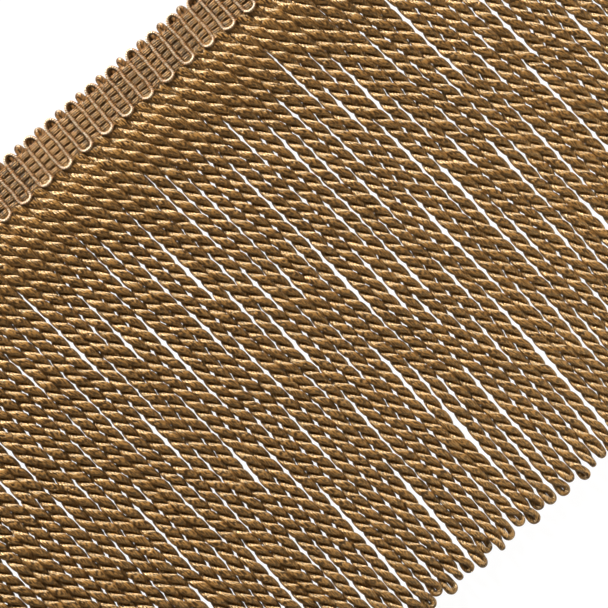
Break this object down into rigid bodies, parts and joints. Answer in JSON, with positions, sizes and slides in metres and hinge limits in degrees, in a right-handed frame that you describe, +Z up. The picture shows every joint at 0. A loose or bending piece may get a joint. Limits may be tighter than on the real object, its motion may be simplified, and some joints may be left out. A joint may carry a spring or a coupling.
{
  "type": "cord fringe trim",
  "caption": "Cut length of bullion fringe: a narrow ribbed woven heading edged with a looped cord, and twisted cords that hang close side by side from its lower edge.",
  "frame": {"origin": "middle of the footprint, on the surface that the trim lies on", "axes": "+X along the heading, +Y from the cord ends towards the heading's outer edge, +Z up, out of the trim's face"},
  "size_m": [0.2504, 0.167, 0.0036],
  "materials": {
    "bullion_yarn": "satin",
    "warp_yarn": "satin",
    "gimp_yarn": "satin"
  },
  "bodies": {
    "root": {"heading_band": "warp_yarn", "edging_cord": "gimp_yarn", "bullion_fringe": "bullion_yarn"}
  },
  "joints": []
}
